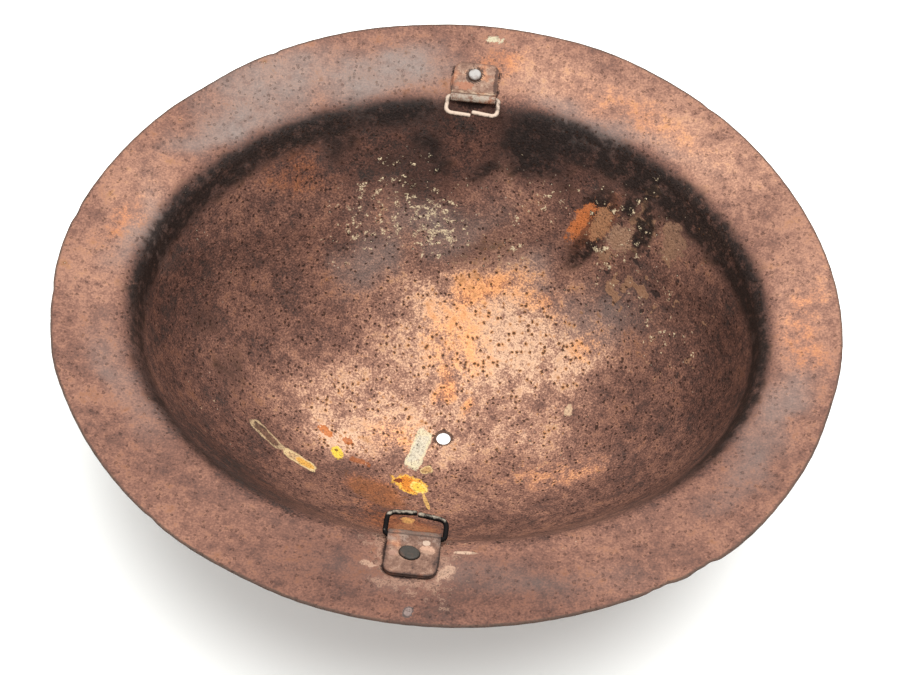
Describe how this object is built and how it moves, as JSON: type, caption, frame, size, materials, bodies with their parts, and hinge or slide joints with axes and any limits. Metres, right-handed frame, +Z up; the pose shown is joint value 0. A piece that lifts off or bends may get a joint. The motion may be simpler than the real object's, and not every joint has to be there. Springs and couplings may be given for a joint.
{
  "type": "brodie helmet",
  "caption": "Shallow soup-bowl steel helmet with a broad brim, lying on its crown; brackets riveted inside the brim carry swinging wire strap loops; bare rusted steel without liner.",
  "frame": {"origin": "on the floor, under the middle of the crown on which the helmet lies", "axes": "+X along the long axis of the oval, +Y towards the side that is far from the camera in the picture, +Z up out of the helmet's mouth"},
  "size_m": [0.3064, 0.2822, 0.1119],
  "materials": {
    "shell_steel": "pitted rust, pink-brown on the brim and nearly black below the shoulder, matt",
    "bracket_steel": "tan and brown rust, matt",
    "rivet_steel": "worn grey-brown, half matt",
    "loop_wire": "dark brown with rubbed bright tops"
  },
  "bodies": {
    "helmet": {"shell": "shell_steel", "strap_bracket_far": "bracket_steel", "strap_bracket_near": "bracket_steel", "bracket_rivet_far": "rivet_steel", "bracket_rivet_near": "rivet_steel"},
    "loop_far": {"strap_loop_far": "loop_wire"},
    "loop_near": {"strap_loop_near": "loop_wire"}
  },
  "joints": [
    {"name": "loop_far_swing", "type": "hinge", "parent": "helmet", "child": "loop_far", "pos_m": [-0.001, 0.10445, 0.10587], "axis": [-1, 0, 0], "range_deg": [-50, 145]},
    {"name": "loop_near_swing", "type": "hinge", "parent": "helmet", "child": "loop_near", "pos_m": [0.0002, -0.10445, 0.10587], "axis": [1, 0, 0], "range_deg": [-50, 150]}
  ]
}
